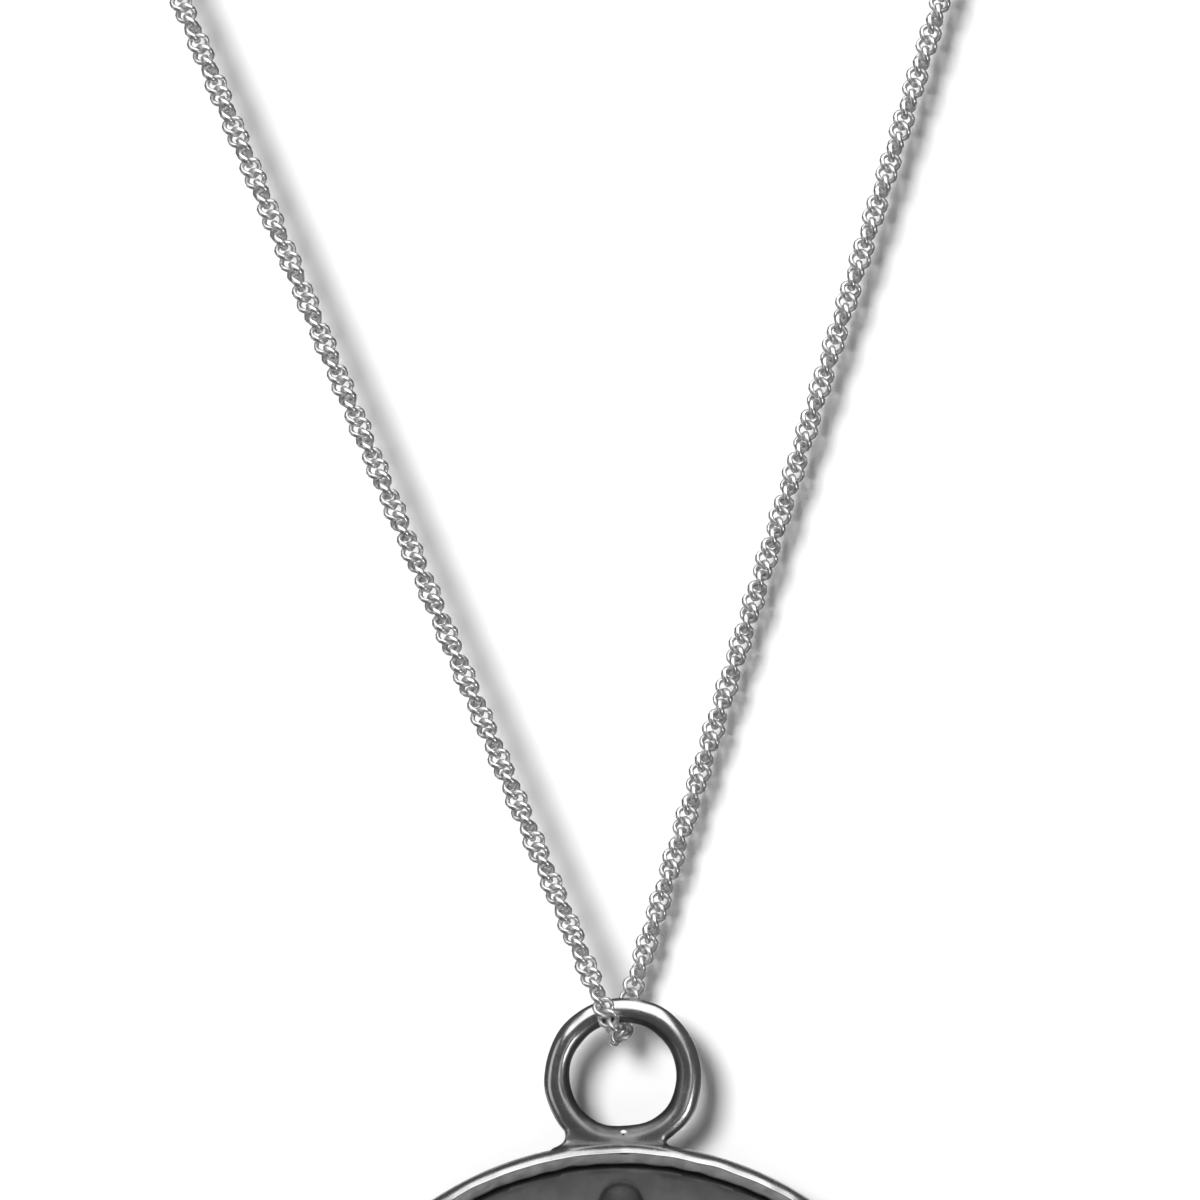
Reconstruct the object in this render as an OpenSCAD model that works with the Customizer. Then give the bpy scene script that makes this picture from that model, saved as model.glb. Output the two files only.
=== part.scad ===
// Sugar skull pendant on a fine rope chain, in millimetres.
// X runs to the wearer's left as seen from the front, Y runs to the back, Z is up.
// The origin is the top of the loop, where the necklace hangs on the nape.

/* [Disc] */
// Outer diameter of the round setting
disc_d = 28; // [20:0.5:40]
// Thickness of the setting from its back to the crest of the rim
disc_t = 2.7; // [2:0.1:4]
// Thickness of the back plate under the medallion
back_t = 0.75; // [0.5:0.05:1.5]
// Width of the rim seen from the front, from the outer wall to its inner lip
rim_w = 0.78; // [0.6:0.02:1.6]
// Height of the rim's crest above the medallion's field
rim_rise = 0.95; // [0.4:0.05:1.2]

/* [Ring] */
// Outside diameter of the ring soldered on top
ring_d = 6.43; // [4:0.01:10]
// Diameter of the ring's wire
ring_wire = 1.03; // [0.6:0.01:2]
// Distance from the ring's centre down to the disc's centre
ring_drop = 16.8; // [14:0.1:24]
// How far to the left of the ring's centre the disc's centre lies
disc_shift = 0.08; // [0:0.01:0.5]
// Width of the solder neck at its narrowest
neck_w = 4.05; // [2:0.05:6]

/* [Chain] */
// Length of the closed necklace along the middle of the chain
loop_len = 457; // [400:1:610]
// Width of the chain
chain_d = 0.96; // [0.6:0.02:2]
// Width of the chain where it is drawn tight round the ring's wire
chain_tight_d = 0.88; // [0.5:0.02:1.8]
// Lean of the left strand from upright, in degrees
left_lean = 22.8; // [10:0.1:40]
// Lean of the right strand from upright, in degrees
right_lean = 17.3; // [10:0.1:40]

/* [Clasp] */
// Outside diameter of the clasp's ring
clasp_d = 5.5; // [4:0.1:8]
// Thickness of the clasp's tube
clasp_tube = 1.05; // [0.7:0.05:1.6]
// Outside diameter of the eye soldered to the clasp
eye_d = 2; // [1.5:0.1:3]

/* [Sugar skull] */
// Width of the skull across the cranium
skull_w = 16.4; // [10:0.1:19]
// Height of the relief over the field at its highest
relief_t = 0.78; // [0.3:0.02:0.9]
// Radius of each eye socket, without its scallops
eye_r = 1.95; // [1:0.05:2.6]
// Number of scallops round each eye socket
eye_scallops = 10; // [6:1:14]
// Number of teeth along each jaw
teeth = 6; // [4:1:8]

/* [Hidden] */

disc_r = disc_d / 2;
ring_major = (ring_d - ring_wire) / 2;
wire_r = ring_wire / 2;
chain_r = chain_d / 2;
tight_r = chain_tight_d / 2;

// The V of the two strands, measured from the ring's centre
apex_x = -0.23;
apex_z = 1.5;
half_v = (left_lean + right_lean) / 2;
lean_v = (left_lean - right_lean) / 2;
run = loop_len / (2 + tan(half_v) * (180 + 2 * half_v) * PI / 180);
arc_r = run * tan(half_v);
arc_x = apex_x - run / cos(half_v) * sin(lean_v);
arc_z = apex_z + run / cos(half_v) * cos(lean_v);
ring_x = -arc_x;
ring_z = -arc_z - arc_r;

// The turn of the chain under the ring's wire
wire_z = 2.68;
turn_r = 1.06;
turn_left = apex_x - (wire_z - apex_z) * tan(left_lean);
turn_right = apex_x + (wire_z - apex_z) * tan(right_lean);
turn_bulge = 0.14;
turn_steps = 12;

// Angle between the rows of the tube along the hidden arc, in degrees
arc_step = 5;

// The chain's ends stop just short of the clasp: its eye on the left, its ring on the right
end_gap = 0.12;
eye_x = -(clasp_d + eye_d) / 2 + 0.3;
left_stop = (eye_d / 2 - eye_x + end_gap) / arc_r * 180 / PI;
right_stop = (clasp_d / 2 + end_gap) / arc_r * 180 / PI;

function arc_point(a) = [-arc_r * sin(a), 0, arc_r * (cos(a) - 1)];
function from_ring(p) = [p[0] + ring_x, p[1], p[2] + ring_z];
function strand_point(h, lean, y) = from_ring([apex_x - h * tan(lean), y, apex_z + h]);
function turn_point(a) = from_ring([
  turn_left + (turn_right - turn_left) * a / 180 + turn_bulge * sin(a),
  -turn_r * cos(a),
  wire_z - turn_r * sin(a)]);

// The strands leave the ring a little apart and come together higher up. Each row is a height
// over the V's tip, the distance off the plane and the tube's radius.
strand_rows = [
  [1.18, 1.06, 0.44],
  [1.9, 1.08, 0.45],
  [3, 1.1, 0.48],
  [24, 0.92, 0.48],
  [70, 0.5, 0.48],
  [110, 0.12, 0.48]];
near = len(strand_rows) - 1;
left_end = 90 + left_lean;
right_end = 90 + right_lean;
left_steps = floor((left_end - left_stop) / arc_step);
right_steps = floor((right_end - right_stop) / arc_step);

// The middle line with its radius: clasp to left strand, under the ring, right strand, clasp
line = concat(
  [for (i = [0:left_steps]) concat(
    arc_point(left_stop + (left_end - left_stop) * i / left_steps), chain_r)],
  [for (i = [near:-1:1]) concat(
    strand_point(strand_rows[i][0], left_lean, -strand_rows[i][1]), strand_rows[i][2])],
  [for (i = [0:turn_steps]) concat(turn_point(180 * i / turn_steps), tight_r)],
  [for (i = [1:near]) concat(
    strand_point(strand_rows[i][0], -right_lean, strand_rows[i][1]), strand_rows[i][2])],
  [for (i = [right_steps:-1:0]) concat(
    arc_point(-right_stop - (right_end - right_stop) * i / right_steps), chain_r)]);

function unit(v) = v / norm(v);
function spot(i) = [line[i][0], line[i][1], line[i][2]];
function along(i) = unit(spot(min(i + 1, len(line) - 1)) - spot(max(i - 1, 0)));
function square_to(v, t) = unit(v - (v * t) * t);
function sides_from(i, v) = i == len(line) ? [] :
  let (u = square_to(v, along(i)))
  concat([u], sides_from(i + 1, u));
sides = sides_from(0, [0, 1, 0]);
around = 8;

// A tube along the middle line: one ring of points for each row, closed at both ends
module tube() {
  last = len(line) - 1;
  points = [for (i = [0:last], k = [0:around - 1])
    let (u = sides[i], w = cross(along(i), sides[i]), a = (k + 0.5) * 360 / around)
    spot(i) + line[i][3] * (cos(a) * u + sin(a) * w)];
  walls = [for (i = [0:last - 1], k = [0:around - 1])
    let (n = (k + 1) % around)
    [i * around + n, i * around + k, (i + 1) * around + k, (i + 1) * around + n]];
  ends = [
    [for (k = [0:around - 1]) k],
    [for (k = [around - 1:-1:0]) last * around + k]];
  polyhedron(points = points, faces = concat(walls, ends), convexity = 6);
}

// The tube stands in for about 1000 interlocking links, threaded through the ring from the
// front on the left to the back on the right
module rope_chain() {
  color([0.86, 0.86, 0.87]) tube();
}

// Places what is drawn round the disc's centre, with its front up, into the necklace
module on_disc() {
  translate([ring_x - disc_shift, disc_t / 2 - 0.1, ring_z - ring_drop])
    rotate([90, 0, 0]) children();
}

pocket_r = disc_r - rim_w + 0.24;
lip_r = disc_r - rim_w;
field_z = disc_t - rim_rise;

// Half of the setting's section: back plate, outer wall, rounded crest, inner bevel, and the
// lip pressed over the medallion's edge
module setting_section() {
  difference() {
    union() {
      square([disc_r - 0.3, disc_t - 0.28]);
      translate([0, 0.3]) square([disc_r, disc_t - 0.58]);
      translate([disc_r - 0.3, 0.3]) circle(r = 0.3, $fn = 48);
      translate([disc_r - 0.28, disc_t - 0.28]) circle(r = 0.28, $fn = 64);
    }
    polygon([
      [-1, back_t],
      [pocket_r, back_t],
      [pocket_r, field_z - 0.12],
      [lip_r, field_z + 0.06],
      [lip_r, field_z + 0.3],
      [disc_r - 0.42, disc_t - 0.04],
      [disc_r - 0.42, disc_t + 1],
      [-1, disc_t + 1]]);
    translate([-2, -1]) square([2, disc_t + 3]);
  }
}

// Front outline of the solder between the ring and the disc, with a hollow on each side
module neck_front() {
  fillet = 0.45;
  difference() {
    translate([-neck_w / 2 - fillet, -3.25]) square([neck_w + 2 * fillet, 0.81]);
    translate([neck_w / 2 + fillet, -2.54]) circle(r = fillet, $fn = 64);
    translate([-neck_w / 2 - fillet, -2.54]) circle(r = fillet, $fn = 64);
    circle(r = ring_major - 0.16, $fn = 128);
  }
}

// Side outline of the same solder, as thin as the wire at the top and wider on the disc's wall
module neck_side() {
  difference() {
    translate([-0.85, -3.25]) square([1.7, 1.05]);
    for (s = [-1, 1]) {
      translate([s * 1.05, -2.48]) circle(r = 0.55, $fn = 64);
      translate([s * 0.98 - 0.48, -2.45]) square([0.96, 0.4]);
    }
  }
}

// Outline of the solder from above, drawn thin towards both ends
module neck_plan() {
  intersection() {
    translate([0, 3.5]) circle(r = 4.32, $fn = 240);
    translate([0, -3.5]) circle(r = 4.32, $fn = 240);
  }
}

// Setting: back plate, bezel wall, ring and solder are one piece of silver
module setting() {
  color([0.62, 0.62, 0.64]) {
    on_disc() rotate_extrude($fn = 180) setting_section();
    translate([ring_x, 0, ring_z]) {
      rotate([90, 0, 0]) rotate_extrude($fn = 120)
        translate([ring_major, 0]) circle(r = wire_r, $fn = 48);
      intersection() {
        rotate([90, 0, 0]) linear_extrude(height = 3, center = true) neck_front();
        rotate([90, 0, 90]) linear_extrude(height = 8, center = true) neck_side();
        translate([0, 0, -4]) linear_extrude(height = 3) neck_plan();
      }
    }
  }
}

skull_r = skull_w / 2;
crest_y = 10.2;

// Raised parts are rooted inside the medallion's thickness
inset_z = back_t + 0.2;

// Row of round dots along an arc about the skull's middle, raised on the relief
module dot_row(count, from, to, radius, size) {
  for (i = [0:count - 1]) {
    a = from + (to - from) * i / (count - 1);
    translate([radius * sin(a), 1.2 + radius * cos(a), inset_z])
      cylinder(r = size, h = field_z + relief_t - 0.16 - inset_z, $fn = 32);
  }
}

// Flat outline of the skull: round cranium, cheekbones and a narrow jaw
module skull_outline() {
  translate([0, 1.2]) circle(r = skull_r, $fn = 128);
  for (s = [-1, 1]) {
    translate([s * 4.5, -3.5]) circle(r = 3, $fn = 64);
    translate([s * 3.1, -8.6]) circle(r = 1.6, $fn = 48);
  }
  translate([-4.7, -8.6]) square([9.4, 5]);
  translate([-3.1, -10.2]) square([6.2, 3]);
}

// A flower of round petals about a middle
module petals(count, radius, petal, turn) {
  for (i = [0:count - 1]) rotate(turn + i * 360 / count)
    translate([0, radius]) circle(r = petal, $fn = 40);
  circle(r = radius, $fn = 64);
}

// Eye sockets with scallops, the nose as an upturned heart, and the gaps between the teeth
module skull_hollows() {
  for (s = [-1, 1]) translate([s * 3.65, -0.4])
    petals(eye_scallops, eye_r, 0.52, 0);
  for (s = [-1, 1]) translate([s * 0.42, -4.05]) circle(r = 0.5, $fn = 40);
  polygon([[-0.9, -3.85], [0, -2.3], [0.9, -3.85], [0, -4.1]]);
  translate([-3.9, -7.35]) square([7.8, 0.3]);
  pitch = 7 / teeth;
  for (i = [0:teeth]) translate([-3.5 + i * pitch - 0.13, -8.7]) square([0.26, 3]);
}

// Medallion: a disc with the skull raised on it, cast in one piece
module skull_medallion() {
  color([0.3, 0.3, 0.31]) on_disc() {
    rotate_extrude($fn = 180) polygon([
      [0, back_t + 0.05],
      [pocket_r - 0.05, back_t + 0.05],
      [pocket_r - 0.05, field_z - 0.2],
      [lip_r - 0.06, field_z - 0.06],
      [lip_r - 0.18, field_z],
      [0, field_z]]);
    difference() {
      intersection() {
        linear_extrude(height = disc_t) skull_outline();
        translate([0, -0.4, field_z + relief_t - 82]) sphere(r = 82, $fn = 200);
      }
      translate([0, 0, field_z + 0.06]) linear_extrude(height = 3) skull_hollows();
      translate([0, 0, inset_z - 3]) cylinder(r = disc_r, h = 3, $fn = 64);
    }
    translate([0, 0, inset_z]) {
      for (s = [-1, 1]) translate([s * 3.65, -0.4, 0]) {
        linear_extrude(height = field_z + 0.28 - inset_z) petals(6, 0.8, 0.42, 0);
        cylinder(r = 0.5, h = field_z + 0.42 - inset_z, $fn = 40);
      }
      translate([0, 5.1, 0]) {
        linear_extrude(height = field_z + relief_t + 0.06 - inset_z) petals(8, 1, 0.42, 0);
        cylinder(r = 0.55, h = field_z + relief_t + 0.14 - inset_z, $fn = 40);
      }
    }
    intersection() {
      translate([0, crest_y, inset_z]) linear_extrude(height = 3) petals(5, 1.38, 0.87, 0);
      translate([0, crest_y, field_z + 0.5 - 8]) sphere(r = 8, $fn = 120);
    }
    translate([0, crest_y, field_z + 0.15]) sphere(r = 0.7, $fn = 48);
    dot_row(5, -62, -26, 6.6, 0.3);
    dot_row(5, 26, 62, 6.6, 0.3);
    dot_row(3, 172, 188, 10.6, 0.3);
  }
}

// Clasp: a plain ring of tube with a thumb knob, and the eye that holds the chain's left end
module clasp() {
  color([0.8, 0.8, 0.81]) {
    rotate_extrude($fn = 96)
      translate([(clasp_d - clasp_tube) / 2, 0]) circle(r = clasp_tube / 2, $fn = 36);
    translate([eye_x, 0, 0]) rotate_extrude($fn = 64)
      translate([eye_d / 2 - 0.25, 0]) circle(r = 0.25, $fn = 24);
    rotate([0, 0, 62]) translate([clasp_d / 2 - 0.2, 0, 0]) rotate([0, 90, 0])
      cylinder(r = 0.32, h = 0.85, $fn = 32);
  }
}

setting();
skull_medallion();
rope_chain();
clasp();
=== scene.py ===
import bpy
import bmesh
import math
import numpy as np
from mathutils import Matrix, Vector


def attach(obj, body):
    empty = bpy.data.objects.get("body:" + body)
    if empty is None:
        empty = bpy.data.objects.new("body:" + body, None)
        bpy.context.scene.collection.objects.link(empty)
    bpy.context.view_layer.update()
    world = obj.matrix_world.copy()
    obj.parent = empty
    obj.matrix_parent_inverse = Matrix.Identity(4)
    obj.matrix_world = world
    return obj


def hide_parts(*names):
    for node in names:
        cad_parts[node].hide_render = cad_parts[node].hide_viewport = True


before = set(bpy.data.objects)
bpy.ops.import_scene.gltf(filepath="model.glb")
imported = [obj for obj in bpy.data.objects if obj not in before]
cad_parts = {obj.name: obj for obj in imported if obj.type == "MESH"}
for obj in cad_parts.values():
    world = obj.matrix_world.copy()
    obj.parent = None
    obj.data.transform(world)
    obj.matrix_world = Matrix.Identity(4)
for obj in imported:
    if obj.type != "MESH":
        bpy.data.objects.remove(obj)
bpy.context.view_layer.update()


# Where the necklace is seen from: straight at the front, through a long lens, so that the chain
# and the pendant keep their true proportions. The picture is 49.18 mm wide at the pendant.
seen_width = 0.04918
seen_x = 0.006148
seen_z = -0.173854
stand_back = 0.6


def put_in_scene(name, data):
    placed = bpy.data.objects.new(name, data)
    bpy.context.scene.collection.objects.link(placed)
    return placed


camera_data = bpy.data.cameras.new("camera")
camera_data.sensor_width = 36
camera_data.lens = camera_data.sensor_width * stand_back / seen_width
camera_data.clip_start = 0.05
camera_data.clip_end = 5
camera = put_in_scene("camera", camera_data)
camera.location = (seen_x, -stand_back, seen_z)
camera.rotation_euler = (math.pi / 2, 0, 0)
bpy.context.scene.camera = camera
bpy.context.scene.view_settings.view_transform = "Standard"


# The white card that the necklace hangs in front of. It comes down just behind the pendant and
# curves forward into a floor. Only its front is painted, so it hides nothing from behind.
card_y = 0.0024
card_top = 0.05
card_foot = -0.26
card_bend = 0.03
card_side = 0.16
card_front = -0.4
bend_steps = 16
card_line = [(card_y, card_top), (card_y, card_foot + card_bend)]
for step in range(1, bend_steps + 1):
    turn = math.pi / 2 * step / bend_steps
    card_line.append((
        card_y - card_bend * (1 - math.cos(turn)),
        card_foot + card_bend * (1 - math.sin(turn))))
card_line.append((card_front, card_foot))
card_points = [(side, y, z) for y, z in card_line for side in (-card_side, card_side)]
card_faces = [
    (2 * i, 2 * i + 2, 2 * i + 3, 2 * i + 1) for i in range(len(card_line) - 1)]
card_mesh = bpy.data.meshes.new("card")
card_mesh.from_pydata(card_points, [], card_faces)
card_mesh.shade_smooth()
card = put_in_scene("card", card_mesh)
card.location.x = seen_x
card_paint = bpy.data.materials.new("white card")
card_paint.use_nodes = True
nodes, links = card_paint.node_tree.nodes, card_paint.node_tree.links
nodes["Principled BSDF"].inputs["Base Color"].default_value = (0.93, 0.93, 0.93, 1)
nodes["Principled BSDF"].inputs["Roughness"].default_value = 0.95
nodes["Principled BSDF"].inputs["Specular IOR Level"].default_value = 0.0
side_seen = nodes.new("ShaderNodeNewGeometry")
ray_kind = nodes.new("ShaderNodeLightPath")
unpainted = nodes.new("ShaderNodeBsdfTransparent")
painted = nodes["Principled BSDF"].outputs["BSDF"]
for clear_to in (
        side_seen.outputs["Backfacing"], ray_kind.outputs["Is Glossy Ray"],
        ray_kind.outputs["Is Shadow Ray"]):
    see_through = nodes.new("ShaderNodeMixShader")
    links.new(clear_to, see_through.inputs["Fac"])
    links.new(painted, see_through.inputs[1])
    links.new(unpainted.outputs["BSDF"], see_through.inputs[2])
    painted = see_through.outputs["Shader"]
links.new(painted, nodes["Material Output"].inputs["Surface"])
card_mesh.materials.append(card_paint)


# Studio light. One window on the left lights the card and the duller silver, and throws the
# shadows. What the silver mirrors is a wide panel overhead, tall ones at the sides and in
# front, three behind that show up the back plate, and a dark room.
lit_spot = Vector((seen_x, 0, -0.185))


def soft_light(name, place, width, height, watts, on_card=False):
    """A rectangle of light aimed at the lit spot, seen by the silver or else by the card."""
    data = bpy.data.lights.new(name, "AREA")
    data.shape = "RECTANGLE"
    data.size = width
    data.size_y = height
    data.energy = watts
    lamp = put_in_scene(name, data)
    lamp.location = place
    lamp.rotation_euler = (lit_spot - Vector(place)).to_track_quat("-Z", "Y").to_euler()
    lamp.visible_camera = False
    lamp.visible_diffuse = on_card
    lamp.visible_glossy = not on_card


# Each light: its place, width, height and watts
soft_light("window", (-0.542, -1.37, 0.281), 0.5, 0.5, 25.6, on_card=True)
soft_light("panel_above", (0.006, -0.15, 0.085), 0.5, 0.56, 1.5)
soft_light("panel_left", (-0.5, -0.2, -0.2), 0.25, 0.5, 0.26)
soft_light("panel_right", (0.37, -0.35, -0.39), 0.12, 0.2, 0.38)
soft_light("panel_front", (0.2, -0.56, -0.12), 0.12, 0.4, 0.12)
soft_light("panel_behind", (0.0, 0.6, -0.35), 0.5, 0.5, 0.9)
soft_light("panel_behind_right", (0.45, 0.45, -0.42), 0.3, 0.3, 0.1)
soft_light("panel_behind_left", (-0.45, 0.45, -0.42), 0.3, 0.3, 0.1)

# The room is dark, a little lighter where the silver mirrors it, and white to the camera
room_tone = 0.05
mirrored_more = 0.04
room = bpy.data.worlds.new("room")
bpy.context.scene.world = room
room.use_nodes = True
nodes, links = room.node_tree.nodes, room.node_tree.links
ray_kind = nodes.new("ShaderNodeLightPath")
in_silver = nodes.new("ShaderNodeMath")
in_silver.operation = "MULTIPLY_ADD"
in_silver.inputs[1].default_value = mirrored_more
in_silver.inputs[2].default_value = room_tone
links.new(ray_kind.outputs["Is Glossy Ray"], in_silver.inputs[0])
links.new(in_silver.outputs[0], nodes["Background"].inputs["Color"])
plain_back = nodes.new("ShaderNodeBackground")
plain_back.inputs["Color"].default_value = (0.9, 0.9, 0.9, 1)
room_mix = nodes.new("ShaderNodeMixShader")
links.new(ray_kind.outputs["Is Camera Ray"], room_mix.inputs["Fac"])
links.new(nodes["Background"].outputs["Background"], room_mix.inputs[1])
links.new(plain_back.outputs["Background"], room_mix.inputs[2])
links.new(room_mix.outputs["Shader"], nodes["World Output"].inputs["Surface"])


# The rope chain: about 1000 links of bright silver wire. Each one hangs in the last, a part turn
# further round, and the whole is twisted back the other way, which gives it the look of a rope.
mm = 0.001
ring_major = 2.7
loop_length = 457
left_lean = math.radians(22.8)
right_lean = math.radians(17.3)
half_v = (left_lean + right_lean) / 2
lean_v = (left_lean - right_lean) / 2
tip_x = -0.23
tip_z = 1.5

# The loop's length and the strands' leans give the radius of the nape's arc and the ring's place
strand_run = loop_length / (2 + math.tan(half_v) * (math.pi + 2 * half_v))
nape_r = strand_run * math.tan(half_v)
ring_x = strand_run / math.cos(half_v) * math.sin(lean_v) - tip_x
ring_z = -strand_run / math.cos(half_v) * math.cos(lean_v) - tip_z - nape_r

link_pitch = 0.46
link_turn = math.radians(44.5)
link_twist = -1.9
link_half_width = 0.39
link_half_length = 0.35
wire_thick = 0.21
wire_wide = 0.27
link_sides = 16
wire_sides = 6

# Near the pendant the strands part, one in front of the ring's wire and one behind it: the
# height over the tip of the V, and the distance from the plane of the necklace.
strand_parts = [(1.18, 1.06), (1.9, 1.08), (3, 1.1), (24, 0.92), (70, 0.5), (110, 0.12)]

# The turn under the ring's wire is a half round from front to back, and leans a little aside
under_ring_z = 2.68
under_ring_r = 1.06
turn_sway = 0.14
turn_steps = 60
nape_steps = 240


def nape_point(angle):
    return (-nape_r * math.sin(angle), 0, nape_r * (math.cos(angle) - 1))


def by_ring(x, y, z):
    return (ring_x + x, y, ring_z + z)


def strand_point(height, lean, y):
    return by_ring(tip_x - height * math.tan(lean), y, tip_z + height)


# The chain stops short of the clasp on both sides: by these widths from the middle of the nape
left_gap = 5.16
right_gap = 3.32
left_stop = math.asin(left_gap / nape_r)
right_stop = math.asin(right_gap / nape_r)
left_end = math.pi / 2 + left_lean
right_end = math.pi / 2 + right_lean
turn_left = tip_x - (under_ring_z - tip_z) * math.tan(left_lean)
turn_right = tip_x + (under_ring_z - tip_z) * math.tan(right_lean)
course = [nape_point(a) for a in np.linspace(left_stop, left_end, nape_steps)]
course += [strand_point(h, left_lean, -y) for h, y in strand_parts[::-1]]
for a in np.linspace(0, math.pi, turn_steps + 1)[1:-1]:
    course.append(by_ring(
        turn_left + (turn_right - turn_left) * a / math.pi + turn_sway * math.sin(a),
        -under_ring_r * math.cos(a),
        under_ring_z - under_ring_r * math.sin(a)))
course += [strand_point(h, -right_lean, y) for h, y in strand_parts]
course += [nape_point(-a) for a in np.linspace(right_end, right_stop, nape_steps)]

# The course is walked in even steps and its corners are eased
course = np.array(course)
reach = np.concatenate([[0], np.cumsum(np.linalg.norm(np.diff(course, axis=0), axis=1))])
step_length = 0.045
steps = np.arange(0, reach[-1], step_length)
walked = np.stack([np.interp(steps, reach, course[:, k]) for k in range(3)], axis=1)
eased = walked.copy()
ease = 5
window = np.lib.stride_tricks.sliding_window_view(walked, 2 * ease + 1, axis=0)
eased[ease:-ease] = window.mean(axis=-1)
ahead = np.gradient(eased, axis=0)
ahead /= np.linalg.norm(ahead, axis=1)[:, None]
aside = np.zeros_like(ahead)
aside[0] = (0, 1, 0)
for k in range(1, len(aside)):
    turned = aside[k - 1] - ahead[k] * (aside[k - 1] @ ahead[k])
    aside[k] = turned / np.linalg.norm(turned)
across = np.cross(ahead, aside)

# The links share the course evenly, between the two rings that join them to the clasp
turn_low = by_ring(0, 0, under_ring_z - under_ring_r)
turn_middle = steps[np.argmin(np.linalg.norm(eased - turn_low, axis=1))]
end_gap = 0.2
count = round((steps[-1] - 2 * end_gap) / link_pitch) + 1
link_at = np.linspace(end_gap, steps[-1] - end_gap, count)
spot = np.stack([np.interp(link_at, steps, eased[:, k]) for k in range(3)], axis=1)
index = np.clip(np.round(link_at / step_length).astype(int), 0, len(ahead) - 1)
along, side_a, side_b = ahead[index], aside[index], across[index]

# In the bend round the ring's wire the links are rounder and less twisted, and clear each other
turn_reach = 3.2
thinned = 0.01
narrowed = 0.07
untwisted = 0.4
near_turn = np.exp(-((link_at - turn_middle) / turn_reach) ** 4)
thick_now = wire_thick - thinned * near_turn
wide_now = wire_wide - narrowed * near_turn
twist_now = link_twist + untwisted * near_turn

# The last link on each side lies level, to take the ring that joins it to the clasp
level_turn = math.atan2(side_b[-1][1], side_a[-1][1])
half_turns = round(((count - 1) * link_turn - level_turn) / math.pi)
facing = np.linspace(0, half_turns * math.pi + level_turn, count)


def link_rings(centre, ahead, side_a, side_b, facing, half_width, half_length, twist, thick,
               wide, sides, wire_sides):
    """Points of links, one row a link: a loop of wire twisted about the chain's own line."""
    a = np.linspace(0, 2 * math.pi, sides, endpoint=False)[None]
    b = np.linspace(0, 2 * math.pi, wire_sides, endpoint=False)
    rise = half_length * np.sin(a)[..., None]
    now_facing = facing[:, None] + twist[:, None] * half_length * np.sin(a)
    now_out = half_width * np.cos(a) * np.stack([np.cos(now_facing), np.sin(now_facing)])
    loop = now_out[0][..., None] * side_a[:, None] + now_out[1][..., None] * side_b[:, None]
    loop = loop + rise * ahead[:, None]
    tangent = np.roll(loop, -1, axis=1) - np.roll(loop, 1, axis=1)
    tangent /= np.linalg.norm(tangent, axis=-1, keepdims=True)
    out = loop - tangent * (loop * tangent).sum(axis=-1, keepdims=True)
    out /= np.linalg.norm(out, axis=-1, keepdims=True)
    up = np.cross(tangent, out)
    skin = thick[:, None, None, None] / 2 * np.cos(b)[:, None] * out[:, :, None]
    skin = skin + wide[:, None, None, None] / 2 * np.sin(b)[:, None] * up[:, :, None]
    return (centre[:, None] + loop)[:, :, None] + skin


def link_faces(links_made, sides, wire_sides):
    i, j, k = np.meshgrid(
        np.arange(links_made), np.arange(sides), np.arange(wire_sides), indexing="ij")

    def at(j, k):
        return (i * sides + j % sides) * wire_sides + k % wire_sides

    return np.stack([at(j, k), at(j + 1, k), at(j + 1, k + 1), at(j, k + 1)], axis=-1)


def paint(piece, layer_name, values):
    """Keeps a value for each point: the tarnish-and-shade layer is 0 on the rubbed surface and 1
    where tarnish and painted shade are darkest, and "satin" is above 0 where the silver is left
    dull."""
    layer = piece.data.attributes.new(layer_name, "FLOAT", "POINT")
    layer.data.foreach_set("value", np.asarray(values, np.float32).ravel())


# The joining rings: one through the clasp's eye on the left, one round its tube on the right
end_r = {"left": 0.75, "right": 0.95}
end_wire = 0.23
end_slack = 0.01
end_sides = 20
end_wire_sides = 8

# Polishing reaches the links from outside, down to about this far from the chain's middle. It
# leaves them a little satin, and their inside more so. Their inside is also painted darker:
# tarnish, and painted shade where the outer wires would shade it.
polished_r = 0.37
dull_r = 0.11
satin_outside = 0.035
satin_added_inside = 0.17

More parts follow.
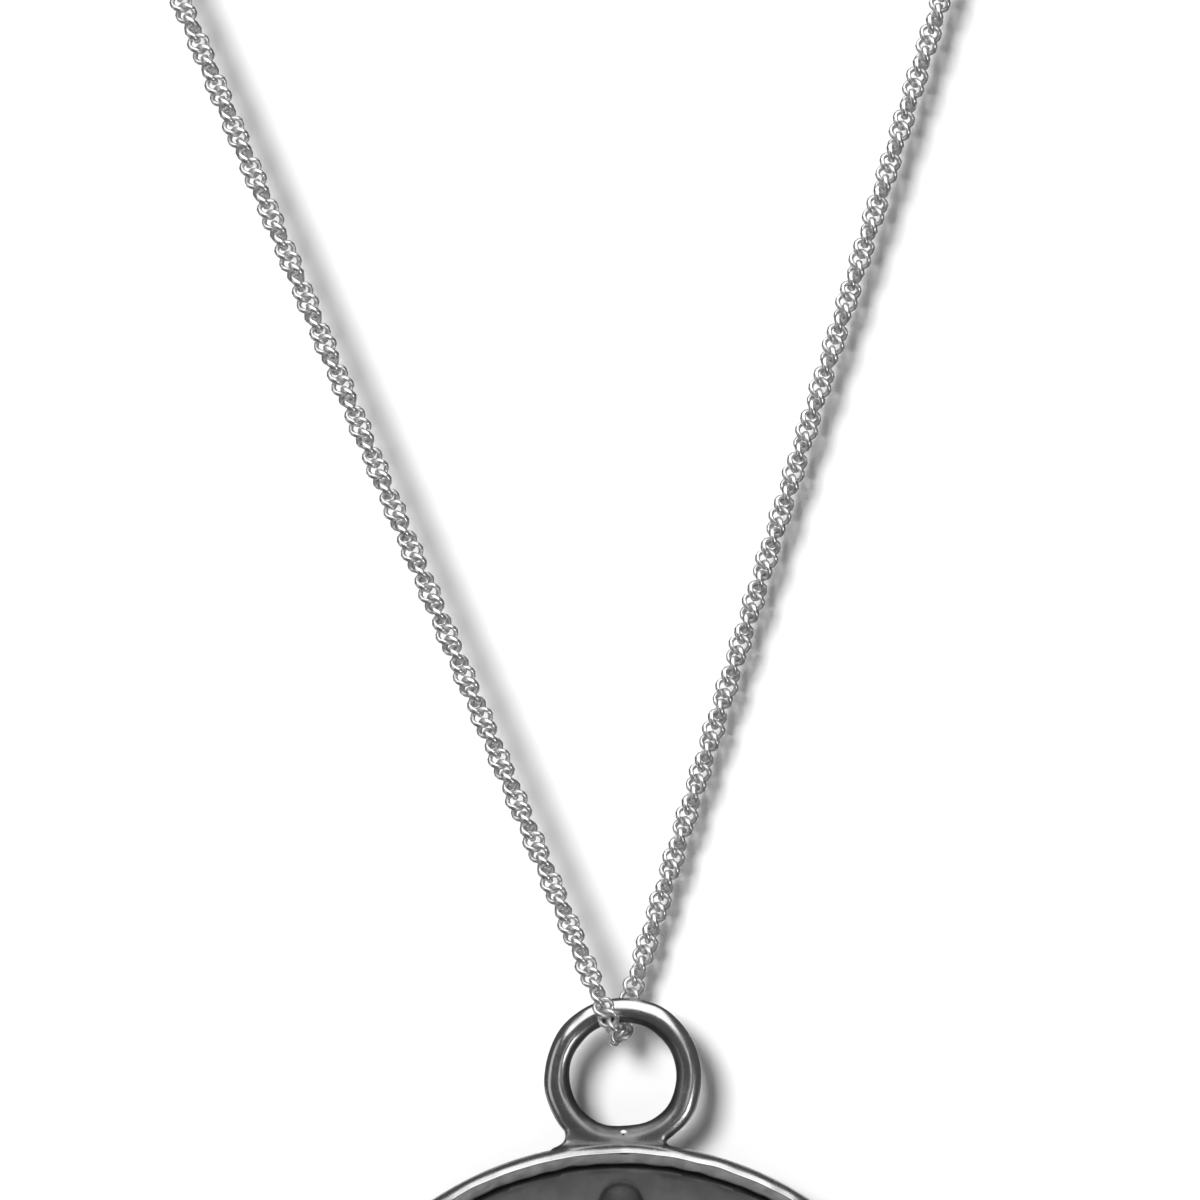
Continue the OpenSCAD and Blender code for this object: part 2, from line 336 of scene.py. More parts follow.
# The chain is made in two halves that meet under the ring's wire: each half's links, and the
# last of them at the clasp
half = int(np.searchsorted(link_at, turn_middle))
chain_parts = {"left": (slice(0, half), 0), "right": (slice(half, count), count - 1)}
chain_pieces = []
for hand, (part, last) in chain_parts.items():
    points = link_rings(
        spot[part], along[part], side_a[part], side_b[part], facing[part], link_half_width,
        link_half_length, twist_now[part], thick_now[part], wide_now[part], link_sides,
        wire_sides)
    faces = link_faces(len(points), link_sides, wire_sides)
    # The links' inside is painted darker, as tarnish and as painted shade
    depth = np.linalg.norm(
        np.cross(points - spot[part][:, None, None], along[part][:, None, None]), axis=-1)
    hollow = np.clip((polished_r - depth) / (polished_r - dull_r), 0, 1)
    to_clasp = -along[last] if hand == "left" else along[last]
    middle = spot[last] + to_clasp * (
        end_r[hand] + link_half_length - end_wire / 2 - wire_thick / 2 - end_slack)
    level = np.cross(to_clasp, (0, 0, 1))
    upright = np.cross(level, to_clasp)
    end_ring = link_rings(
        middle[None], to_clasp[None], upright[None], level[None], np.zeros(1), end_r[hand],
        end_r[hand], np.zeros(1), np.array([end_wire]), np.array([end_wire]), end_sides,
        end_wire_sides)
    end_faces = link_faces(1, end_sides, end_wire_sides) + len(points) * link_sides * wire_sides
    mesh = bpy.data.meshes.new("rope_chain_" + hand)
    mesh.from_pydata(
        np.concatenate([points.reshape(-1, 3), end_ring.reshape(-1, 3)]) * mm, [],
        np.concatenate([faces.reshape(-1, 4), end_faces.reshape(-1, 4)]))
    mesh.shade_smooth()
    piece = put_in_scene("rope_chain_" + hand, mesh)
    hollow = np.concatenate([hollow.ravel(), np.zeros(end_sides * end_wire_sides)])
    paint(piece, "hollow", hollow)
    paint(piece, "satin", satin_outside + satin_added_inside * hollow)
    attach(piece, "necklace")
    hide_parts("rope_chain")
    chain_pieces.append(piece)


# Two finishes that all the silver here shares. Polishing leaves fine marks and a faint
# unevenness in the gloss. The other darkens the silver with tarnish where no cloth reaches and
# with painted shade.
def new_group(name, sockets_in, sockets_out):
    group = bpy.data.node_groups.new(name, "ShaderNodeTree")
    for label, kind, value in sockets_in:
        socket = group.interface.new_socket(name=label, in_out="INPUT", socket_type=kind)
        socket.default_value = value
    for label, kind in sockets_out:
        group.interface.new_socket(name=label, in_out="OUTPUT", socket_type=kind)
    return group, group.nodes.new("NodeGroupInput"), group.nodes.new("NodeGroupOutput")


def add_math(tree, operation, *values, clamp=False):
    node = tree.nodes.new("ShaderNodeMath")
    node.operation = operation
    node.use_clamp = clamp
    for socket, value in zip(node.inputs, values):
        if isinstance(value, (int, float)):
            socket.default_value = value
        else:
            tree.links.new(value, socket)
    return node.outputs[0]


def add_noise(tree, where, scale, detail, roughness=0.5):
    node = tree.nodes.new("ShaderNodeTexNoise")
    node.inputs["Detail"].default_value = detail
    node.inputs["Roughness"].default_value = roughness
    tree.links.new(where, node.inputs["Vector"])
    tree.links.new(scale, node.inputs["Scale"])
    return node.outputs["Fac"]


polish, polish_in, polish_out = new_group(
    "polishing marks",
    [("Gloss", "NodeSocketFloat", 0.2), ("Uneven", "NodeSocketFloat", 0.1),
     ("Fineness", "NodeSocketFloat", 3000.0), ("Dents", "NodeSocketFloat", 0.3)],
    [("Roughness", "NodeSocketFloat"), ("Height", "NodeSocketFloat")])
place = polish.nodes.new("ShaderNodeTexCoord").outputs["Object"]
stretch = polish.nodes.new("ShaderNodeMapping")
stretch.inputs["Rotation"].default_value = (0.3, 0.9, 0.5)
stretch.inputs["Scale"].default_value = (1, 6, 1)
polish.links.new(place, stretch.inputs["Vector"])
fine = add_noise(polish, stretch.outputs["Vector"], polish_in.outputs["Fineness"], 3)
broad_scale = add_math(polish, "MULTIPLY", polish_in.outputs["Fineness"], 0.22)
broad = add_noise(polish, place, broad_scale, 2)
unevenness = add_math(polish, "SUBTRACT", add_math(polish, "ADD", fine, broad), 1.0)
rough = add_math(polish, "MULTIPLY", unevenness, polish_in.outputs["Uneven"])
rough = add_math(polish, "ADD", rough, polish_in.outputs["Gloss"], clamp=True)
polish.links.new(rough, polish_out.inputs["Roughness"])
dents = add_math(polish, "MULTIPLY", broad, polish_in.outputs["Dents"])
height = add_math(polish, "ADD", add_math(polish, "MULTIPLY", fine, 0.12), dents)
polish.links.new(height, polish_out.inputs["Height"])

tarnish, tarnish_in, tarnish_out = new_group(
    "tarnish in the hollows",
    [("Silver", "NodeSocketColor", (0.9, 0.9, 0.9, 1)),
     ("Tarnish And Shade", "NodeSocketColor", (0.1, 0.1, 0.1, 1)),
     ("Hollow", "NodeSocketFloat", 0.0), ("Amount", "NodeSocketFloat", 1.0),
     ("Patches", "NodeSocketFloat", 0.3), ("Patch Scale", "NodeSocketFloat", 900.0)],
    [("Color", "NodeSocketColor"), ("Mask", "NodeSocketFloat")])
place = tarnish.nodes.new("ShaderNodeTexCoord").outputs["Object"]
patch = add_noise(tarnish, place, tarnish_in.outputs["Patch Scale"], 4, 0.6)
patch = add_math(tarnish, "MULTIPLY", add_math(tarnish, "SUBTRACT", patch, 0.5), 2.0)
patch = add_math(tarnish, "MULTIPLY", patch, tarnish_in.outputs["Patches"])
mask = add_math(tarnish, "ADD", tarnish_in.outputs["Hollow"], patch)
mask = add_math(tarnish, "MULTIPLY", mask, tarnish_in.outputs["Amount"], clamp=True)
blend = tarnish.nodes.new("ShaderNodeMix")
blend.data_type = "RGBA"
tarnish.links.new(mask, blend.inputs["Factor"])
tarnish.links.new(tarnish_in.outputs["Silver"], blend.inputs["A"])
tarnish.links.new(tarnish_in.outputs["Tarnish And Shade"], blend.inputs["B"])
tarnish.links.new(blend.outputs["Result"], tarnish_out.inputs["Color"])
tarnish.links.new(mask, tarnish_out.inputs["Mask"])


def silver_finish(name, silver, dark, gloss, uneven, fineness, dents, bump, amount, patches,
                  patch_scale, hollow_value=None, part_dull=False):
    """A silver surface: its shine from the polishing marks, its colour from the tarnish and the
    painted shade. It has one such value all over, or the tarnish-and-shade values of the piece's
    points. Where the silver is part dull, their "satin" values make it rougher and less of a
    mirror."""
    finish = bpy.data.materials.new(name)
    finish.use_nodes = True
    tree = finish.node_tree
    shine = tree.nodes["Principled BSDF"]
    shine.inputs["Metallic"].default_value = 1.0
    marks = tree.nodes.new("ShaderNodeGroup")
    marks.node_tree = polish
    marks.inputs["Gloss"].default_value = gloss
    marks.inputs["Uneven"].default_value = uneven
    marks.inputs["Fineness"].default_value = fineness
    marks.inputs["Dents"].default_value = dents
    dark_parts = tree.nodes.new("ShaderNodeGroup")
    dark_parts.node_tree = tarnish
    dark_parts.inputs["Silver"].default_value = (*silver, 1)
    dark_parts.inputs["Tarnish And Shade"].default_value = (*dark, 1)
    dark_parts.inputs["Amount"].default_value = amount
    dark_parts.inputs["Patches"].default_value = patches
    dark_parts.inputs["Patch Scale"].default_value = patch_scale
    rough = marks.outputs["Roughness"]
    if hollow_value is None:
        depth = tree.nodes.new("ShaderNodeAttribute")
        depth.attribute_name = "hollow"
        tree.links.new(depth.outputs["Fac"], dark_parts.inputs["Hollow"])
    else:
        dark_parts.inputs["Hollow"].default_value = hollow_value
    if part_dull:
        satin = tree.nodes.new("ShaderNodeAttribute")
        satin.attribute_name = "satin"
        rough = add_math(tree, "ADD", rough, satin.outputs["Fac"])
        mirror = add_math(tree, "MULTIPLY_ADD", satin.outputs["Fac"], -0.6, 1.0)
        tree.links.new(mirror, shine.inputs["Metallic"])
    relief = tree.nodes.new("ShaderNodeBump")
    relief.inputs["Strength"].default_value = 1.0
    relief.inputs["Distance"].default_value = bump
    tree.links.new(marks.outputs["Height"], relief.inputs["Height"])
    tree.links.new(relief.outputs["Normal"], shine.inputs["Normal"])
    dull = add_math(tree, "MULTIPLY", dark_parts.outputs["Mask"], 0.3)
    tree.links.new(add_math(tree, "ADD", rough, dull, clamp=True), shine.inputs["Roughness"])
    tree.links.new(dark_parts.outputs["Color"], shine.inputs["Base Color"])
    return finish


bright_silver = silver_finish(
    "bright chain silver", silver=(0.97, 0.97, 0.97), dark=(0.6, 0.6, 0.6), gloss=0.24,
    uneven=0.08, fineness=9000.0, dents=0.4, bump=0.000004, amount=0.7, patches=0.2,
    patch_scale=1500.0, part_dull=True)
for piece in chain_pieces:
    piece.data.materials.append(bright_silver)


# The clasp: a plain spring ring, a hoop of bright silver tube with its eye and thumb knob
# soldered on. It hangs on the chain's two joining rings at the nape.
clasp_silver = silver_finish(
    "clasp silver", silver=(0.88, 0.88, 0.88), dark=(0.3, 0.3, 0.3), gloss=0.2, uneven=0.08,
    fineness=6000.0, dents=0.3, bump=0.000004, amount=0.6, patches=0.3, patch_scale=700.0,
    hollow_value=0.05)
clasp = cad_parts["clasp"]
clasp.data.materials.clear()
clasp.data.materials.append(clasp_silver)


# The setting's ring and solder: a ring of round wire closed by hand, lumpy at its lower sides,
# with the solder that joins it to the disc drawn up round its foot.
ring_wire_r = 0.515
disc_shift = 0.08
disc_drop = 16.8
disc_r = 14.0


def wander(angle, seed, slowest, fastest, waves=9):
    """Slow uneven waves round a circle, about -1 to 1, as a hand leaves them in metal."""
    hand = np.random.default_rng(seed)
    total = np.zeros_like(angle)
    for _ in range(waves):
        total += np.sin(hand.integers(slowest, fastest + 1) * angle + hand.uniform(0, 6.28))
    return total / math.sqrt(waves)


def lump(angle, middle, before, after):
    """A bump on the ring at an angle in degrees, with its own width on each side."""
    away = (np.degrees(angle) - middle + 180) % 360 - 180
    return np.exp(-(away / np.where(away < 0, before, after)) ** 2)


def prism(outline, front, back, start):
    """A flat outline of x and z, thickened from front to back, as points and faces."""
    n = len(outline)
    points = [(x, front, z) for x, z in outline] + [(x, back, z) for x, z in outline]
    faces = [[start + i for i in range(n)], [start + 2 * n - 1 - i for i in range(n)]]
    for i in range(n):
        j = (i + 1) % n
        faces.append([start + j, start + i, start + n + i, start + n + j])
    return points, faces


def arc_outline(r, degrees):
    turn = np.radians(np.linspace(90 - degrees, 90 + degrees, 40))
    return [(-disc_shift + r * math.cos(t), -disc_drop + r * math.sin(t)) for t in turn]


ring_steps = 260
wire_steps = 36
around_ring = np.linspace(0, 2 * math.pi, ring_steps, endpoint=False)[:, None]
around_wire = np.linspace(0, 2 * math.pi, wire_steps, endpoint=False)[None]

# Lumps on the wire's outer side: height, angle, and width before and after it in degrees
outer_lumps = [(0.1, -30, 14, 14), (0.05, -168, 16, 14), (0.1, -140, 14, 14), (0.04, 62, 12, 9)]
swelling = sum(h * lump(around_ring, at, before, after) for h, at, before, after in outer_lumps)
sagging = 0.17 * lump(around_ring, -88, 26, 30)
wire_now = ring_wire_r * (1 + 0.012 * wander(around_ring, 4, 3, 11))
wire_now = wire_now + 0.008 * np.cos(2 * around_wire + 3 * wander(around_ring, 5, 1, 4))
wire_now = wire_now + swelling * np.clip(np.cos(around_wire), 0, 1) ** 1.5
wire_now = wire_now + sagging * np.clip(-np.cos(around_wire), 0, 1) ** 1.5
from_middle = ring_major + wire_now * np.cos(around_wire)
ring_points = np.stack(np.broadcast_arrays(
    from_middle * np.cos(around_ring), wire_now * np.sin(around_wire),
    from_middle * np.sin(around_ring)), axis=-1).reshape(-1, 3)
solid_points = [tuple(p) for p in ring_points]
i, k = np.meshgrid(np.arange(ring_steps), np.arange(wire_steps), indexing="ij")
next_i = (i + 1) % ring_steps
next_k = (k + 1) % wire_steps
solid_faces = np.stack([
    i * wire_steps + k, i * wire_steps + next_k,
    next_i * wire_steps + next_k, next_i * wire_steps + k], axis=-1).reshape(-1, 4).tolist()

# Solder fills the gap on the left and leaves a nick on the right. It is thicker at its foot,
# and a strip of the disc's wall takes it.
solder = [
    (-3.02, -3.3), (-2.98, -3.0), (-2.62, -2.86), (-2.4, -2.68), (-2.33, -2.3), (-1.6, -2.12),
    (-0.8, -2.42), (0, -2.5), (0.8, -2.42), (1.5, -2.2), (1.68, -2.5), (1.7, -2.74),
    (2.05, -2.92), (2.6, -3.0), (2.75, -3.3)]
foot = [(-2.95, -3.3), (-2.8, -2.98), (-2.2, -2.84), (1.8, -2.84), (2.4, -2.97), (2.65, -3.3)]
wall_strip = arc_outline(disc_r - 0.03, 15) + arc_outline(disc_r - 0.4, 15)[::-1]
solder_bead = (0.04, -0.42, -2.26)
for outline, front, back in [
        (solder, -0.45, 0.45), (foot, -0.72, 0.68), (wall_strip, -1.08, 0.88)]:
    points, faces = prism(outline, front, back, len(solid_points))
    solid_points += points
    solid_faces += faces
rough_mesh = bpy.data.meshes.new("ring and solder")
rough_mesh.from_pydata(solid_points, [], solid_faces)
rough_form = put_in_scene("ring and solder", rough_mesh)
melt = rough_form.modifiers.new("melt together", "REMESH")
melt.mode = "VOXEL"
melt_cell = 0.045
melt.voxel_size = melt_cell
bpy.context.view_layer.update()
melted = bpy.data.meshes.new_from_object(
    rough_form.evaluated_get(bpy.context.evaluated_depsgraph_get()))
bpy.data.objects.remove(rough_form)


def mesh_points(mesh):
    flat = np.zeros(len(mesh.vertices) * 3, np.float32)
    mesh.vertices.foreach_get("co", flat)
    return flat.reshape(-1, 3).astype(float)


def neighbour_mean(values, edges, shares):
    """The mean of each point's neighbours, one column at a time."""
    means = []
    for column in values.T:
        total = np.bincount(edges[:, 0], column[edges[:, 1]], len(values))
        total += np.bincount(edges[:, 1], column[edges[:, 0]], len(values))
        means.append(total / shares)
    return np.stack(means, axis=1)


# The melted form is softened all over, and more at its foot, where the solder has flowed
soft = mesh_points(melted)
edges = np.zeros(len(melted.edges) * 2, np.int32)
melted.edges.foreach_get("vertices", edges)
edges = edges.reshape(-1, 2)
shares = np.maximum(np.bincount(edges.ravel(), minlength=len(soft)), 1)
low = np.clip((-1.5 - soft[:, 2]) / 0.8, 0, 1)[:, None]
rounds_all_over = 8
rounds_at_foot = 34
for _ in range(rounds_all_over):
    soft += 0.5 * (neighbour_mean(soft, edges, shares) - soft)
for _ in range(rounds_at_foot):
    soft += 0.5 * low * (neighbour_mean(soft, edges, shares) - soft)

# A small bead on the solder is worn flat and bright, facing forward and up
bead_face = np.array([0, -0.85, 0.53])
bead_at = soft[np.argmin(np.linalg.norm(soft - solder_bead, axis=1))] + 0.035 * bead_face
on_bead = np.clip((0.155 - np.linalg.norm(soft - bead_at, axis=1)) / 0.06, 0, 1)
soft -= (on_bead * ((soft - bead_at) @ bead_face))[:, None] * bead_face
melted.vertices.foreach_set("co", soft.astype(np.float32).ravel())
melted.update()
facing_out = np.zeros(len(soft) * 3, np.float32)
melted.vertices.foreach_get("normal", facing_out)
facing_out = facing_out.reshape(-1, 3)

# Where the silver dips it keeps tarnish. The ring's lower part, its inward-facing inside, and
# most of all the inside of its foot are painted darker as shade.
dip = ((neighbour_mean(soft, edges, shares) - soft) * facing_out).sum(axis=1)[:, None] / melt_cell
for _ in range(10):
    dip = neighbour_mean(dip, edges, shares)
ring_dip = np.clip(dip[:, 0] * 14, 0, 1)
inward = -(soft[:, 0] * facing_out[:, 0] + soft[:, 2] * facing_out[:, 2])
inward /= np.maximum(np.hypot(soft[:, 0], soft[:, 2]), 0.5)
at_foot = np.clip((-0.6 - soft[:, 2]) / 1.6, 0, 1)
# The lower part and the inward-facing inside are painted darker as shade; the dips keep tarnish
ring_hollow = 0.12 + ring_dip + 0.2 * low[:, 0] + 1.9 * at_foot * np.clip(inward, 0, 1)
ring_hollow = ring_hollow + 0.85 * np.clip((inward - 0.36) / 0.2, 0, 1)
ring_hollow = np.clip(ring_hollow, 0, 1) * (1 - on_bead)
ring_faces = [list(p.vertices) for p in melted.polygons]


# The setting's disc: a plain back plate, an outer wall, and a rim rubbed over the medallion's
# edge with a burnisher, so its crest is bright and its inner bevel dull. Its lip is black: oxide,
# and painted shade in the crevice.
back_y = 1.25
disc_x = ring_x - disc_shift
disc_z = ring_z - disc_drop
wall_r = 14.03
shoulder_r = 0.74
shoulder_z = 2.03
bevel_r = 13.67
bevel_z = 2.65
bevel_width = 0.43
bevel_drop = 0.59
lip_r = 13.22

# The disc's section from the middle of its back round to the pocket: radius, height over the
# back, and how dark it is painted: tarnish, and at the lip painted shade as well
section = [(0, 0, 0.3), (4, 0, 0.3), (8, 0, 0.32), (12, 0, 0.34), (13.4, 0, 0.25)]
section += [
    (wall_r - 0.3 + 0.3 * math.sin(t), 0.3 - 0.3 * math.cos(t), 0.1)
    for t in np.radians(np.linspace(0, 90, 7))]
section += [(wall_r, 0.7, 0.35), (wall_r, 1.2, 0.5), (wall_r, 1.7, 0.45)]
section += [
    (wall_r + shoulder_r * (math.cos(t) - 1), shoulder_z + shoulder_r * math.sin(t),
     0.3 * math.cos(t))
    for t in np.radians(np.linspace(0, 53, 8))]
section += [(13.715, 2.646, 0), (13.695, 2.667, 0.05), (13.68, 2.668, 0.2)]
section += [
    (bevel_r - bevel_width * (0.65 * s + 0.35 * math.sin(s * math.pi / 2)),
     bevel_z - bevel_drop * (0.65 * s + 0.35 * (1 - math.cos(s * math.pi / 2))), 0.2)
    for s in (0.05, 0.2, 0.4, 0.6, 0.8, 1)]
# The lip and the pocket are painted black: oxide, and painted shade in the crevice
section += [(lip_r + 0.01, 1.98, 1), (lip_r, 1.81, 1), (13.46, 1.63, 1), (13.46, 0.75, 1)]
section += [(8, 0.75, 1), (0, 0.75, 1)]
r, z, disc_hollow = np.array(section).T
turns = 400
angle = np.linspace(0, 2 * math.pi, turns, endpoint=False)[:, None]

# The burnisher left the rim and its lip slightly wavy
on_rim = np.clip((r - 13.1) / 0.2, 0, 1) * np.clip((z - 1.9) / 0.5, 0, 1)
r = r + 0.016 * on_rim * wander(angle, 11, 4, 60, 16)
r = r + 0.028 * (z > 1.9) * (r < 13.5) * (r > 13) * wander(angle, 12, 9, 90, 20)
z = z + 0.02 * on_rim * wander(angle, 13, 6, 90, 16)
rim_points = np.stack([r * np.cos(angle), back_y - z, r * np.sin(angle)], axis=-1)
rows = len(section)
rim_faces = []
for i in range(turns):
    j = (i + 1) % turns
    for k in range(rows - 1):
        rim_faces.append([i * rows + k, j * rows + k, j * rows + k + 1, i * rows + k + 1])
setting_points = np.concatenate([
    soft + (ring_x, 0, ring_z), rim_points.reshape(-1, 3) + (disc_x, 0, disc_z)])
setting_mesh = bpy.data.meshes.new("setting_silver")
setting_mesh.from_pydata(
    setting_points * mm, [],
    ring_faces + [[len(soft) + v for v in face] for face in rim_faces])
setting_form = bmesh.new()
setting_form.from_mesh(setting_mesh)
bmesh.ops.remove_doubles(
    setting_form, dist=1e-7, verts=[v for v in setting_form.verts if v.index >= len(soft)])
setting_form.to_mesh(setting_mesh)
setting_form.free()
setting_mesh.shade_smooth()
setting = put_in_scene("setting_silver", setting_mesh)

# Every point of the disc keeps as much tarnish and painted shade as the nearest point of the
# section
kept = mesh_points(setting_mesh) / mm - (disc_x, 0, disc_z)
kept_r = np.hypot(kept[:, 0], kept[:, 2])
section_r, section_z = np.array(section)[:, 0], np.array(section)[:, 1]
nearest = np.argmin(
    (kept_r[:, None] - section_r) ** 2 + (back_y - kept[:, 1][:, None] - section_z) ** 2, axis=1)
whole_hollow = disc_hollow[nearest]
bevel = (section_r[nearest] < bevel_r) & (section_z[nearest] > 2.1)
bevel[:len(soft)] = False

# The burnisher left streaks of tarnish along the bevel, in two bands
kept_angle = np.arctan2(kept[:, 2], kept[:, 0])
streaks = np.where(
    kept_r > 13.48, wander(kept_angle, 21, 30, 150, 16), wander(kept_angle, 22, 30, 150, 16))
whole_hollow = np.clip(whole_hollow + 0.16 * streaks * bevel, 0, 1)
whole_hollow[:len(soft)] = ring_hollow
bevel_satin = 0.4
paint(setting, "hollow", whole_hollow)
paint(setting, "satin", bevel_satin * bevel)
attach(setting, "pendant")
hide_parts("setting")
setting_mesh.materials.append(silver_finish(
    "setting silver", silver=(0.66, 0.66, 0.66), dark=(0.09, 0.09, 0.09), gloss=0.2,
    uneven=0.12, fineness=5000.0, dents=0.5, bump=0.00001, amount=0.9, patches=0.25,
    patch_scale=900.0, part_dull=True))


# The medallion: a sugar skull cast in low relief with a small flower as its crest, blackened
# and then rubbed, so the field and the hollows stay dark and the raised parts shine.
medal_r = 13.41
under_z = 0.8
field_z = 1.75
relief_t = 0.78
cells = 306
u, v = np.meshgrid(np.linspace(-1, 1, cells + 1), np.linspace(-1, 1, cells + 1), indexing="ij")
x = medal_r * u * np.sqrt(1 - v * v / 2)
y = medal_r * v * np.sqrt(1 - u * u / 2)


def in_circle(cx, cy, radius):
    return radius - np.hypot(x - cx, y - cy)


def in_box(x0, y0, x1, y1):
    return np.minimum.reduce([x - x0, x1 - x, y - y0, y1 - y])


def in_petals(cx, cy, petals, radius, petal):
    inside = in_circle(cx, cy, radius)
    for i in range(petals):
        turn = 2 * math.pi * i / petals
        inside = np.maximum(inside, in_circle(
            cx - radius * math.sin(turn), cy + radius * math.cos(turn), petal))
    return inside


def rounded(inside, width):
    """From 0 at an outline to 1 at a width inside it, along a quarter round."""
    s = np.clip(inside / width, 0, 1)
    return np.sqrt(np.clip(1 - (1 - s) ** 2, 0, 1))


# The skull's outline: a round head over two steps of jaw, with cheekbones and jaw corners. Its
# front is a very flat dome.
head_y = 1.2
head_r = 8.2
dome_r = 82
skull = np.maximum.reduce(
    [in_circle(0, head_y, head_r)]
    + [in_box(-4.7, -8.6, 4.7, -3.6), in_box(-3.1, -10.2, 3.1, -7.2)]
    + [in_circle(s * 4.5, -3.5, 3) for s in (-1, 1)]
    + [in_circle(s * 3.1, -8.6, 1.6) for s in (-1, 1)])
dome = relief_t - (dome_r - np.sqrt(dome_r ** 2 - x ** 2 - (y + 0.4) ** 2))
relief = dome * rounded(skull, 0.35)

# Hollows: the scalloped eye sockets, the nose as an upturned heart, the line of the mouth and
# the gaps of the teeth. Each has the width over which its edge rounds down to its floor.
eye_x = 3.65
eye_y = -0.4
hollow_floor = 0.06
hollows = [(in_petals(s * eye_x, eye_y, 10, 1.95, 0.52), 0.3) for s in (-1, 1)]
hollows += [(in_circle(s * 0.42, -4.05, 0.5), 0.25) for s in (-1, 1)]
hollows.append((np.minimum(
    (-2.3 - 1.722 * abs(x) - y) / 1.99, (y + 4.1 - 0.278 * abs(x)) / 1.04), 0.25))
hollows.append((in_box(-3.9, -7.36, 3.9, -7.04), 0.15))
for i in range(7):
    gap_x = (i - 3) * 7 / 6
    hollows.append((in_box(gap_x - 0.14, -8.7, gap_x + 0.14, -5.7), 0.14))
for inside, width in hollows:
    sunk = hollow_floor + (relief - hollow_floor) * (1 - rounded(inside, width))
    relief = np.where((inside > 0) & (relief > hollow_floor), sunk, relief)

# Engraved curls on the brow, cheeks and chin, each an arc of a shallow groove: its centre, its
# radius, and where it starts and ends in degrees
groove_depth = 0.07
groove_width = 0.085
for cx, cy, radius, start, end in [
        (2.6, 4.6, 1.1, -60, 200), (2.9, 4.4, 0.5, 20, 260), (4.9, -4.3, 0.9, -150, 90),
        (5.1, -4.2, 0.4, -60, 160), (1.7, -9.3, 0.45, -40, 190)]:
    for s in (-1, 1):
        way = (np.degrees(np.arctan2(y - cy, s * x - cx)) - start) % 360
        groove = np.where(way < end - start, abs(np.hypot(s * x - cx, y - cy) - radius), 9)
        cut = groove_depth * np.exp(-(groove / groove_width) ** 2)
        relief = relief - np.where(skull > 0.3, cut, 0)

# Raised ornaments: flowers in the eyes, on the brow and as the crest, and rows of dots
brow_y = 5.1
crest_y = 10.2
for s in (-1, 1):
    eye_flower = in_petals(s * eye_x, eye_y, 6, 0.8, 0.42)
    relief = np.maximum(relief, 0.28 * rounded(eye_flower, 0.3))
    relief = np.maximum(relief, 0.42 * rounded(in_circle(s * eye_x, eye_y, 0.5), 0.5))
brow_flower = in_petals(0, brow_y, 8, 1, 0.42)
brow_bead = in_circle(0, brow_y, 0.55)
relief = np.maximum(
    relief, 0.84 * (brow_flower > 0) * (0.72 + 0.28 * rounded(brow_flower, 0.32)))
relief = np.maximum(relief, (brow_bead > 0) * (0.82 + 0.13 * rounded(brow_bead, 0.5)))
crest_dome = 0.5 - ((x ** 2 + (y - crest_y) ** 2) / 32)
crest = crest_dome * rounded(in_petals(0, crest_y, 5, 1.38, 0.87), 1.4)
crest_bead = 0.49 - x ** 2 - (y - crest_y) ** 2
crest = np.maximum(
    crest, np.where(crest_bead > 0, 0.15 + np.sqrt(np.clip(crest_bead, 0, None)), 0))
crest_shows = np.clip((crest - relief) / 0.08, 0, 1)
relief = np.maximum(relief, crest)

# Each dot's distance from the middle of the head, and its angle from the top in degrees
dots = [(6.6, s * a) for s in (-1, 1) for a in range(26, 63, 9)]
dots += [(10.6, a) for a in (172, 180, 188)]
for radius, a in dots:
    dot = in_circle(
        radius * math.sin(math.radians(a)), head_y + radius * math.cos(math.radians(a)), 0.3)
    relief = np.maximum(relief, np.where(dot > 0, 0.4 + 0.22 * rounded(dot, 0.3), 0))

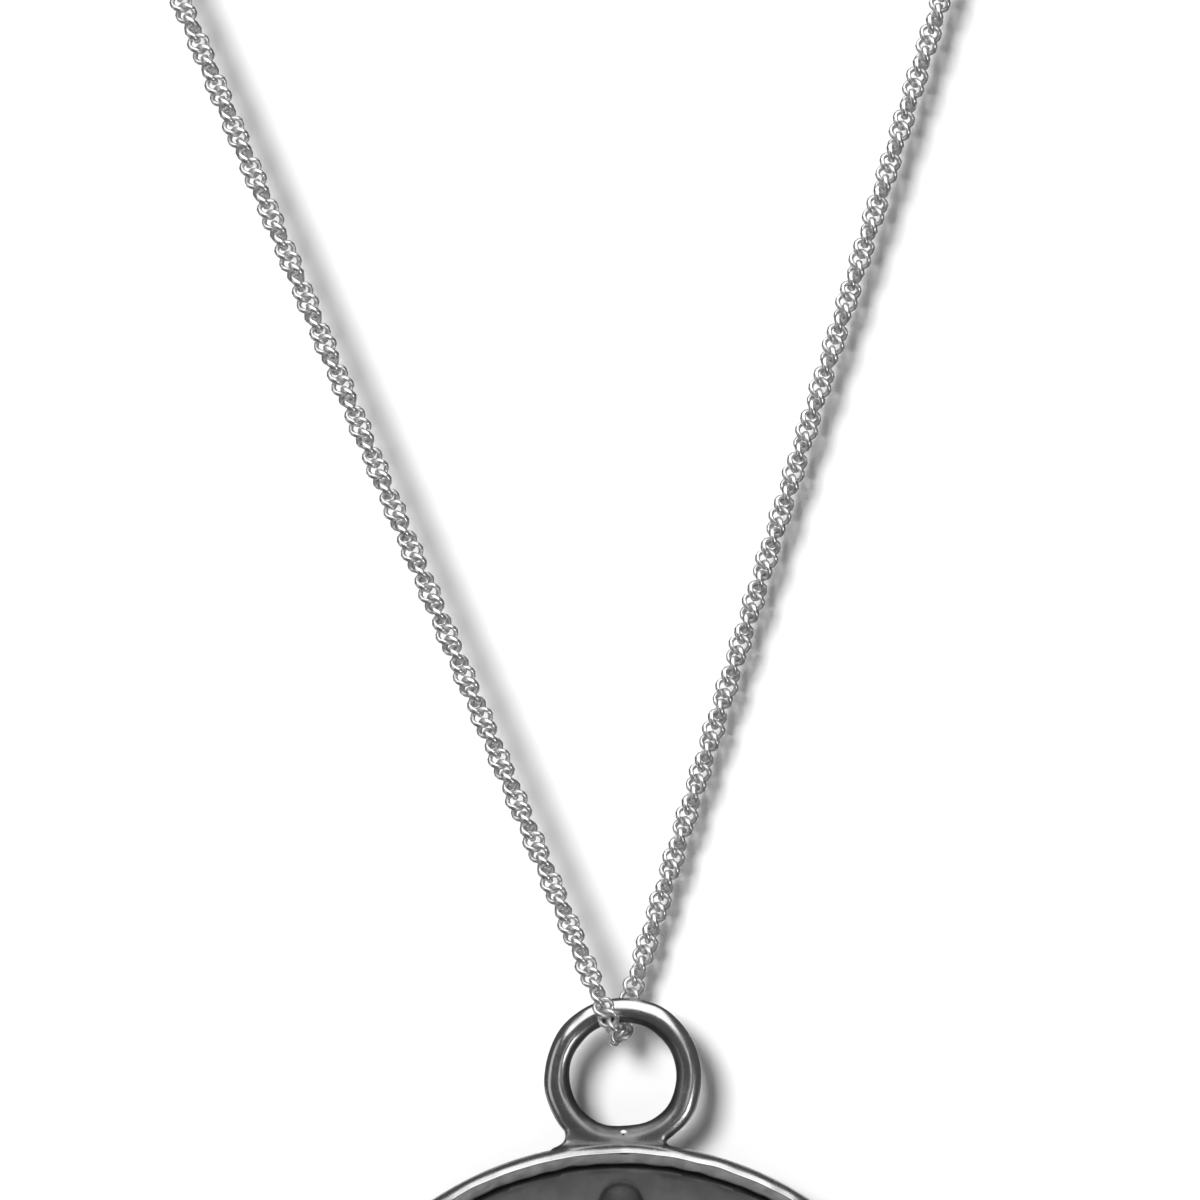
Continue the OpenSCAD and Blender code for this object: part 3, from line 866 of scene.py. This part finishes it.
# The field is slightly uneven from casting, and its edge dips under the lip of the setting
away = np.hypot(x, y)
edge = np.interp(away, [13.04, 13.16, medal_r], [0, -0.06, -0.2])
cast = 0.012 * (np.sin(2.1 * x + 1.3 * np.sin(1.7 * y)) + np.sin(1.9 * y + 1.1 * np.sin(2.3 * x)))
level = field_z + relief + edge + np.where(relief < 0.02, cast * (away < 12.9), 0)
medal_points = np.stack([x, back_y - level, y], axis=-1).reshape(-1, 3)
i, k = np.meshgrid(np.arange(cells), np.arange(cells), indexing="ij")
corner = i * (cells + 1) + k
medal_faces = np.stack(
    [corner, corner + cells + 1, corner + cells + 2, corner + 1], axis=-1).reshape(-1, 4)
ids = np.arange((cells + 1) ** 2).reshape(cells + 1, cells + 1)
border = np.concatenate([ids[:-1, 0], ids[-1, :-1], ids[:0:-1, -1], ids[0, :0:-1]])
under = medal_points[border].copy()
under[:, 1] = back_y - under_z
lower = len(medal_points) + np.arange(len(border))
skirt = np.stack([border, lower, np.roll(lower, -1), np.roll(border, -1)], axis=-1)
medal_mesh = bpy.data.meshes.new("skull_relief")
medal_mesh.from_pydata(
    (np.concatenate([medal_points, under]) + (disc_x, 0, disc_z)) * mm, [],
    medal_faces.tolist() + skirt.tolist() + [lower[::-1].tolist()])
medal_mesh.shade_smooth()
medallion = put_in_scene("skull_relief", medal_mesh)

# On the field and beside what stands up from it the tarnish stays. The crest is darker, and
# under the lip the edge is black: oxide, and painted shade in the crevice.
spread = relief.copy()
for _ in range(6):
    spread[1:-1, 1:-1] = (
        spread[1:-1, 1:-1] + spread[:-2, 1:-1] + spread[2:, 1:-1]
        + spread[1:-1, :-2] + spread[1:-1, 2:]) / 5
shelter = np.clip((spread - relief) * 9, 0, 1)
medal_hollow = np.clip(0.72 - relief * 1.1, 0, 1) + 0.8 * shelter
medal_hollow = medal_hollow + 0.9 * crest_shows
# The edge under the lip is painted black: oxide, and painted shade in the crevice
medal_hollow = np.where(away > 13.0, 1, np.clip(medal_hollow, 0, 1))
paint(medallion, "hollow", np.concatenate([medal_hollow.ravel(), np.ones(len(border))]))
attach(medallion, "pendant")
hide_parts("skull_medallion")
medal_mesh.materials.append(silver_finish(
    "blackened silver", silver=(0.62, 0.62, 0.62), dark=(0.1, 0.1, 0.1), gloss=0.32,
    uneven=0.08, fineness=4200.0, dents=0.5, bump=0.00001, amount=1.0, patches=0.2,
    patch_scale=800.0))
